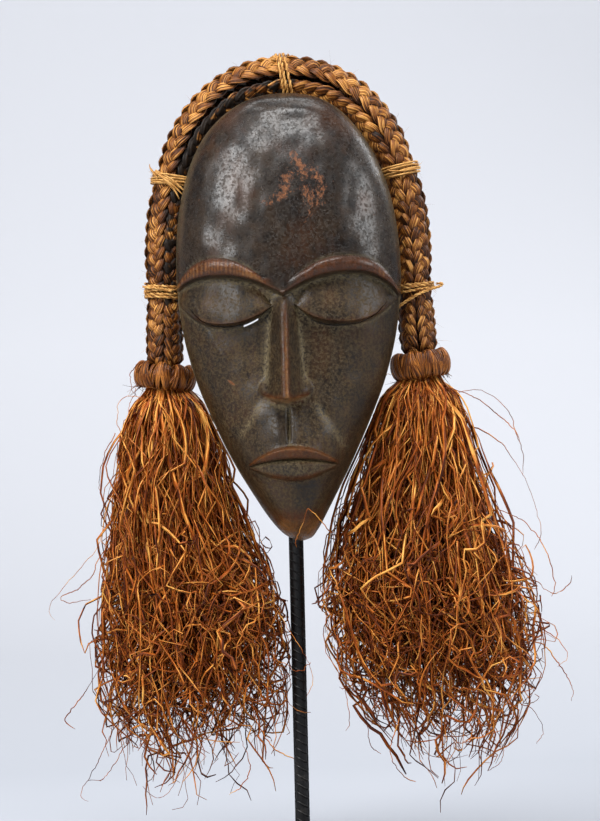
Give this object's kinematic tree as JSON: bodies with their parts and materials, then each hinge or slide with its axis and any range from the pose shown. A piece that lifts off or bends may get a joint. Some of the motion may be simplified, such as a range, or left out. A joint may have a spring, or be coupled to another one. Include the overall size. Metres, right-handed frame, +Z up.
{
  "type": "dan mask on a stand",
  "caption": "Carved dark wooden face mask with slit eyes, a plaited fibre band, two kinked fibre tassels and a ribbed steel stand.",
  "frame": {"origin": "the bar's axis at the underside of the foot plate", "axes": "+Z up, +X the viewer's right, -Y towards the viewer, whom the mask faces"},
  "size_m": [0.286, 0.14, 0.4777],
  "materials": {
    "mask_wood": "dark worn patina with a soft sheen",
    "braid_fibre": "plaited plant fibre, straw to brown",
    "dyed_braid_fibre": "plaited plant fibre, partly dyed black",
    "collar_fibre": "wound red-brown plant fibre",
    "tassel_fibre": "kinked red-brown raffia",
    "twine": "two-ply straw twine",
    "black_bar": "blackened ribbed steel",
    "black_foot": "blackened steel plate"
  },
  "bodies": {
    "root": {"mask_face": "mask_wood", "stand_bar": "black_bar", "stand_foot": "black_foot", "ring_left": "collar_fibre", "ring_right": "collar_fibre", "tassel_left": "tassel_fibre", "tassel_right": "tassel_fibre", "braid_front_outer": "braid_fibre", "braid_side_inner": "braid_fibre", "braid_back": "braid_fibre", "braid_side_outer": "braid_fibre", "braid_front_inner": "dyed_braid_fibre", "tie_top": "twine", "tie_left_upper": "twine", "tie_right_upper": "twine", "tie_left_lower": "twine", "tie_right_lower": "twine"}
  },
  "joints": []
}
